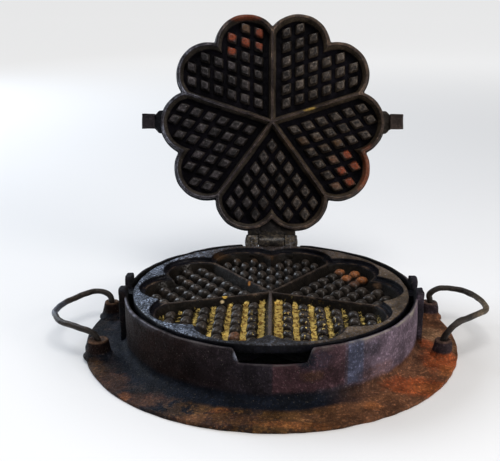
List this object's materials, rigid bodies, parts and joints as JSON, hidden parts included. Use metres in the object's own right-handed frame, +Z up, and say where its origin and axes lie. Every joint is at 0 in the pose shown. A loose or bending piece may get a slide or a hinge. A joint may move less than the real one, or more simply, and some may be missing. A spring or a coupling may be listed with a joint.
{
  "type": "stovetop waffle iron",
  "caption": "Cast-iron stovetop waffle iron: a round heart-pattern lower plate turns in a flanged ring with wire handles, under a hinged flower-shaped upper plate.",
  "frame": {"origin": "centre of the base ring, on the plane of its underside", "axes": "+Z up from the stove; +X to the user's right along the trunnions' axis; +Y away from the user towards the hinge"},
  "size_m": [0.3197, 0.303, 0.229],
  "materials": {
    "ring_iron": "rough casting with old rust",
    "plate_iron": "seasoned rough casting",
    "wire_iron": "dark forged wire"
  },
  "bodies": {
    "base": {"base_ring": "ring_iron", "handle_left": "wire_iron", "handle_right": "wire_iron"},
    "lower_pan": {"lower_plate": "plate_iron", "hinge_pin": "wire_iron"},
    "lid": {"upper_plate": "plate_iron"}
  },
  "joints": [
    {"name": "pan_turn", "type": "hinge", "parent": "base", "child": "lower_pan", "pos_m": [0, 0, 0.0367], "axis": [1, 0, 0], "range_deg": [0, 120]},
    {"name": "lid_hinge", "type": "hinge", "parent": "lower_pan", "child": "lid", "pos_m": [0, 0.103, 0.0415], "axis": [1, 0, 0], "range_deg": [0, 107.1]}
  ]
}
